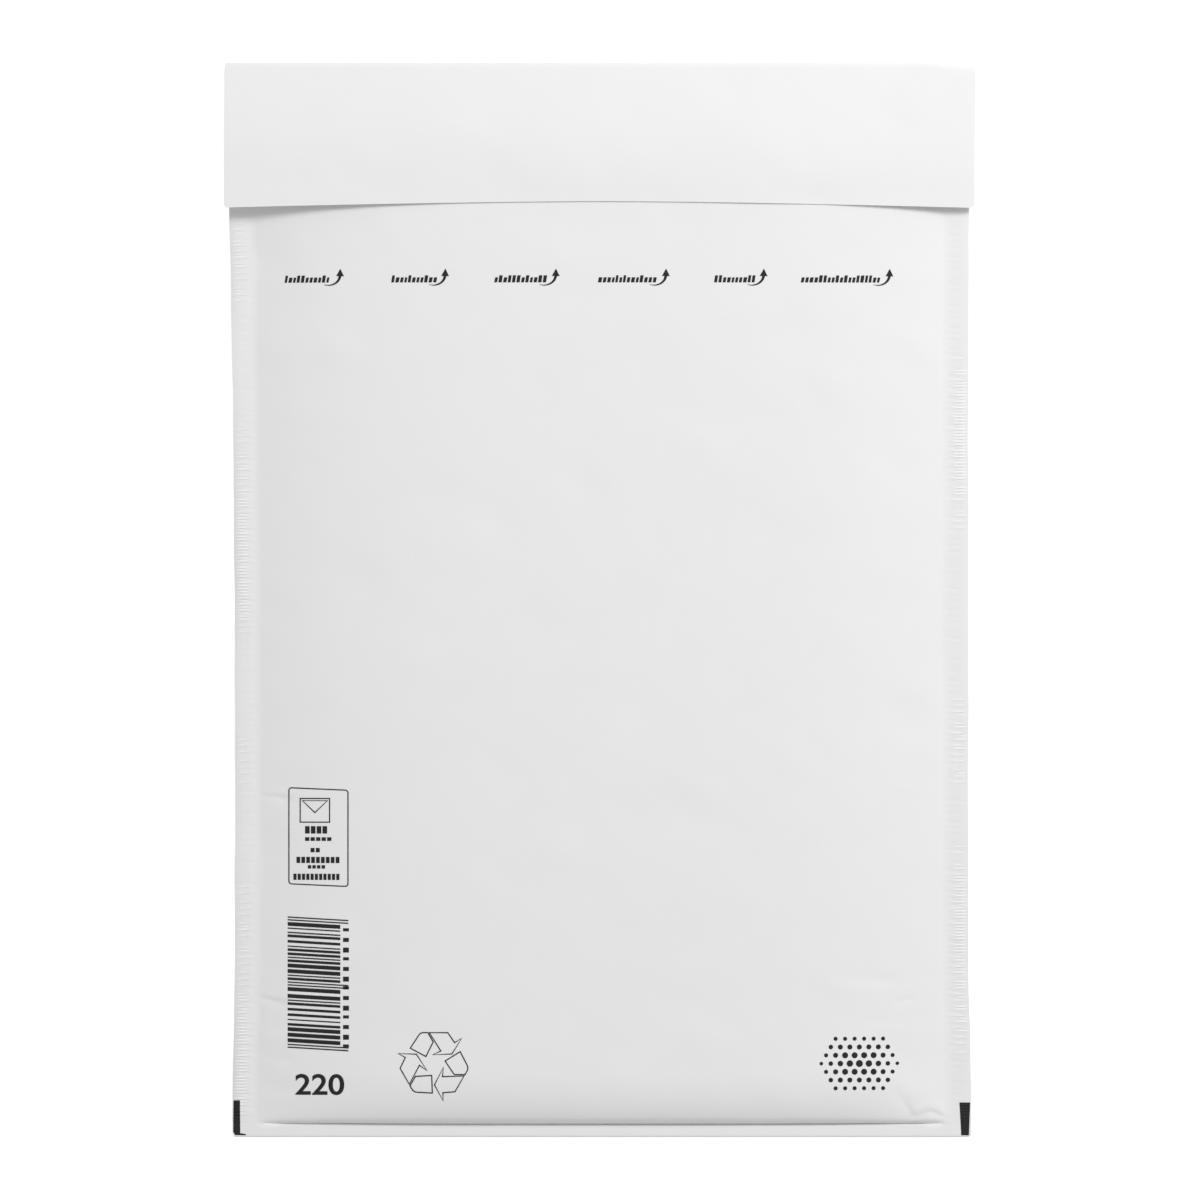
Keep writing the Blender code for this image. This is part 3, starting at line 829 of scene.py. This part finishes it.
def make_pack_size():
    """The inner width in millimetres, as a plain bold number."""
    bpy.ops.object.select_all(action="DESELECT")
    bpy.ops.object.text_add(location=(-99.4, -160.9, 0.0))
    text = bpy.context.object
    text.name = "pack_size_print"
    text.data.body = "220"
    text.data.size = 9.4
    text.data.offset = 0.16
    text.data.resolution_u = 6
    bpy.context.view_layer.update()
    text.scale.x = 16.0 / text.dimensions.x
    return lay_print(text, 1.5)


LOOP_MIDDLE_MM = (-53.9, -151.0)
LOOP_HEAD_MM = ((-1.58, 10.29), (4.39, 10.29), (6.63, 7.05), (8.87, 8.42), (5.75, 3.38), (-0.58, 3.09),
                (2.14, 4.32))
LOOP_TAIL_MM = ((-2.1, 10.32), (-3.7, 10.33), (-4.6, 10.0), (-5.17, 9.29), (-7.8, 5.23), (-2.7, 2.53),
                (-0.35, 7.30))


def make_recycling_loop():
    """Three outlined arrows that follow each other."""
    outlines = []
    for turn in (0.0, 120.0, 240.0):
        outlines += stroke(turned(LOOP_HEAD_MM, turn, LOOP_MIDDLE_MM)[::-1])
        outlines += stroke(turned(LOOP_TAIL_MM, turn, LOOP_MIDDLE_MM))
    return make_print("recycling_loop_print", outlines)


DOT_MIDDLE_MM = (84.4, -150.8)
DOT_PITCH_MM = 3.1


def make_dot_mark():
    """A hexagon of plain dots, smaller towards its rim."""
    outlines = []
    for row in range(-3, 4):
        count = 9 - abs(row)
        for i in range(count):
            radius = 1.15 - 0.16 * max(abs(row), abs(i - 0.5 * (count - 1)) - 0.5)
            centre = (DOT_MIDDLE_MM[0] + (i - 0.5 * (count - 1)) * DOT_PITCH_MM,
                      DOT_MIDDLE_MM[1] + row * DOT_PITCH_MM * 0.866)
            outlines.append([(centre[0] + radius * math.cos(math.radians(a)),
                              centre[1] + radius * math.sin(math.radians(a))) for a in range(0, 360, 24)])
    return make_print("dot_mark_print", outlines)


def make_corner_marks():
    """The two black blocks that the printing press leaves at the bottom corners."""
    left = [(-117.3, -163.0), (-119.4, -163.0), (-119.5, -173.2), (-118.9, -174.3), (-115.4, -174.4),
            (-115.4, -174.0), (-117.2, -173.7)]
    right = [(117.1, -163.7), (120.6, -163.7), (120.2, -174.4), (117.7, -174.4)]
    return make_print("corner_marks_print", [left, right], 1.5, half_ribs=True)


# Materials

def node(tree, kind, **values):
    made = tree.nodes.new(kind)
    for name, value in values.items():
        setattr(made, name, value)
    return made


def make_fibre_group():
    """Paper fibre: a tone that varies over the surface and a height for the bump."""
    tree = bpy.data.node_groups.new("paper_fibre", "ShaderNodeTree")
    tree.interface.new_socket("Place", in_out="INPUT", socket_type="NodeSocketVector")
    size = tree.interface.new_socket("Fibres per metre", in_out="INPUT", socket_type="NodeSocketFloat")
    size.default_value = 1500.0
    tree.interface.new_socket("Tone", in_out="OUTPUT", socket_type="NodeSocketFloat")
    tree.interface.new_socket("Height", in_out="OUTPUT", socket_type="NodeSocketFloat")
    start = node(tree, "NodeGroupInput")
    end = node(tree, "NodeGroupOutput")
    fibre = node(tree, "ShaderNodeTexNoise")
    fibre.inputs["Detail"].default_value = 3.0
    cloud = node(tree, "ShaderNodeTexNoise")
    cloud.inputs["Scale"].default_value = 70.0
    cloud.inputs["Detail"].default_value = 4.0
    mix = node(tree, "ShaderNodeMath", operation="MULTIPLY_ADD")
    mix.inputs[1].default_value = 0.35
    tree.links.new(start.outputs["Place"], fibre.inputs["Vector"])
    tree.links.new(start.outputs["Fibres per metre"], fibre.inputs["Scale"])
    tree.links.new(start.outputs["Place"], cloud.inputs["Vector"])
    scaled = node(tree, "ShaderNodeMath", operation="MULTIPLY")
    scaled.inputs[1].default_value = 0.65
    tree.links.new(cloud.outputs["Fac"], scaled.inputs[0])
    tree.links.new(fibre.outputs["Fac"], mix.inputs[0])
    tree.links.new(scaled.outputs[0], mix.inputs[2])
    tree.links.new(mix.outputs[0], end.inputs["Tone"])
    tree.links.new(fibre.outputs["Fac"], end.inputs["Height"])
    return tree


def make_finish(name, fibre, dark, light, rough, bump, fibres, **sockets):
    """A Principled finish whose colour and roughness follow the fibre tone."""
    material = bpy.data.materials.new(name)
    material.use_nodes = True
    tree = material.node_tree
    shader = tree.nodes["Principled BSDF"]
    place = node(tree, "ShaderNodeTexCoord")
    grain = node(tree, "ShaderNodeGroup", node_tree=fibre)
    grain.inputs["Fibres per metre"].default_value = fibres
    colour = node(tree, "ShaderNodeMix", data_type="RGBA")
    colour.inputs["A"].default_value = (*dark, 1.0)
    colour.inputs["B"].default_value = (*light, 1.0)
    gloss = node(tree, "ShaderNodeMapRange")
    gloss.inputs["To Min"].default_value = rough[0]
    gloss.inputs["To Max"].default_value = rough[1]
    relief = node(tree, "ShaderNodeBump")
    relief.inputs["Strength"].default_value = bump
    relief.inputs["Distance"].default_value = 0.0001
    tree.links.new(place.outputs["Object"], grain.inputs["Place"])
    tree.links.new(grain.outputs["Tone"], colour.inputs["Factor"])
    tree.links.new(grain.outputs["Tone"], gloss.inputs["Value"])
    tree.links.new(grain.outputs["Height"], relief.inputs["Height"])
    tree.links.new(colour.outputs["Result"], shader.inputs["Base Color"])
    tree.links.new(gloss.outputs["Result"], shader.inputs["Roughness"])
    tree.links.new(relief.outputs["Normal"], shader.inputs["Normal"])
    for socket, value in sockets.items():
        shader.inputs[socket.replace("_", " ")].default_value = value
    return material


# Floor, light and camera

FLOOR_GLOW = 0.72
WORLD_LIGHT = 0.50
KEY_PLACE = (0.78, 0.90, 1.32)
KEY_SIZE = 0.60
KEY_POWER = 17.5


def seen_directly(tree):
    """1 for camera, glossy and transmitted rays."""
    path = node(tree, "ShaderNodeLightPath")
    both = node(tree, "ShaderNodeMath", operation="MAXIMUM")
    third = node(tree, "ShaderNodeMath", operation="MAXIMUM")
    tree.links.new(path.outputs["Is Camera Ray"], both.inputs[0])
    tree.links.new(path.outputs["Is Glossy Ray"], both.inputs[1])
    tree.links.new(both.outputs[0], third.inputs[0])
    tree.links.new(path.outputs["Is Transmission Ray"], third.inputs[1])
    return third.outputs[0]


def make_stage():
    bpy.ops.object.select_all(action="DESELECT")
    bpy.ops.mesh.primitive_plane_add(size=12.0, location=(0.0, 0.0, -0.00005))
    floor = bpy.context.object
    floor.name = "white_floor"
    material = bpy.data.materials.new("white_floor")
    material.use_nodes = True
    tree = material.node_tree
    shader = tree.nodes["Principled BSDF"]
    shader.inputs["Base Color"].default_value = (0.80, 0.80, 0.80, 1.0)
    shader.inputs["Roughness"].default_value = 1.0
    shader.inputs["Specular IOR Level"].default_value = 0.0
    shader.inputs["Emission Color"].default_value = (1.0, 1.0, 1.0, 1.0)
    glow = node(tree, "ShaderNodeMath", operation="MULTIPLY")
    glow.inputs[1].default_value = FLOOR_GLOW
    tree.links.new(seen_directly(tree), glow.inputs[0])
    tree.links.new(glow.outputs[0], shader.inputs["Emission Strength"])
    floor.data.materials.append(material)


def make_light():
    world = bpy.data.worlds.new("studio")
    bpy.context.scene.world = world
    world.use_nodes = True
    tree = world.node_tree
    sky = tree.nodes["Background"]
    sky.inputs["Color"].default_value = (1.0, 1.0, 1.0, 1.0)
    strength = node(tree, "ShaderNodeMapRange")
    strength.inputs["To Min"].default_value = WORLD_LIGHT
    strength.inputs["To Max"].default_value = 1.0
    tree.links.new(seen_directly(tree), strength.inputs["Value"])
    tree.links.new(strength.outputs["Result"], sky.inputs["Strength"])
    lamp = bpy.data.lights.new("key_softbox", "AREA")
    lamp.shape = "SQUARE"
    lamp.size = KEY_SIZE
    lamp.energy = KEY_POWER
    key = bpy.data.objects.new("key_softbox", lamp)
    key.location = KEY_PLACE
    key.rotation_euler = key.location.to_track_quat("Z", "Y").to_euler()
    bpy.context.scene.collection.objects.link(key)


def make_camera():
    lens = bpy.data.cameras.new("front_view")
    lens.lens = LENS
    lens.sensor_fit = "HORIZONTAL"
    lens.sensor_width = SENSOR
    camera = bpy.data.objects.new("front_view", lens)
    camera.location = (0.0, 0.0, FRAME_WIDTH * LENS / SENSOR + PAPER_HIGH.z)
    bpy.context.scene.collection.objects.link(camera)
    bpy.context.scene.camera = camera


def put(piece, material):
    piece.data.materials.clear()
    piece.data.materials.append(material)
    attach(piece, "root")


bpy.context.scene.view_settings.view_transform = "Standard"
make_camera()
make_stage()
make_light()

fibre = make_fibre_group()
paper_finish = make_finish("white_paper", fibre, (0.845,) * 3, (0.885,) * 3, (0.56, 0.72), 0.25, 1500.0)
ink_finish = make_finish("black_ink", fibre, (0.006,) * 3, (0.020,) * 3, (0.50, 0.68),
                         0.20, 2200.0, Specular_IOR_Level=0.2)
liner_finish = make_finish("liner_paper", fibre, (0.82, 0.79, 0.70), (0.86, 0.83, 0.74),
                           (0.28, 0.40), 0.10, 900.0, Coat_Weight=0.3)
glue_finish = make_finish("hot_melt_adhesive", fibre, (0.76, 0.70, 0.53), (0.84, 0.78, 0.62),
                          (0.18, 0.34), 0.60, 500.0)
film_finish = make_finish("bubble_film", fibre, (0.80, 0.83, 0.85), (0.88, 0.90, 0.92),
                          (0.10, 0.22), 0.15, 400.0, Transmission_Weight=0.85)

paper_sheet = make_paper_envelope()
put(paper_sheet, paper_finish)
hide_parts("paper_envelope")

bubble_film = make_bubble_film()
put(bubble_film, film_finish)
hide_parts("bubble_lining")

glue_top = PAPER + CLOSURE_CLEARANCE
glue = make_closure_band("adhesive_band", GLUE_LOW, GLUE_HIGH, glue_top)
put(glue, glue_finish)
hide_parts("adhesive_strip")

liner = make_closure_band("liner_strip", LINER_LOW, LINER_HIGH,
                          glue_top + GLUE_THICKNESS + CLOSURE_CLEARANCE)
put(liner, liner_finish)
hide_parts("release_liner")

for make in (make_opening_legends, make_label_frame, make_bar_pattern, make_pack_size,
             make_recycling_loop, make_dot_mark, make_corner_marks):
    put(make(), ink_finish)
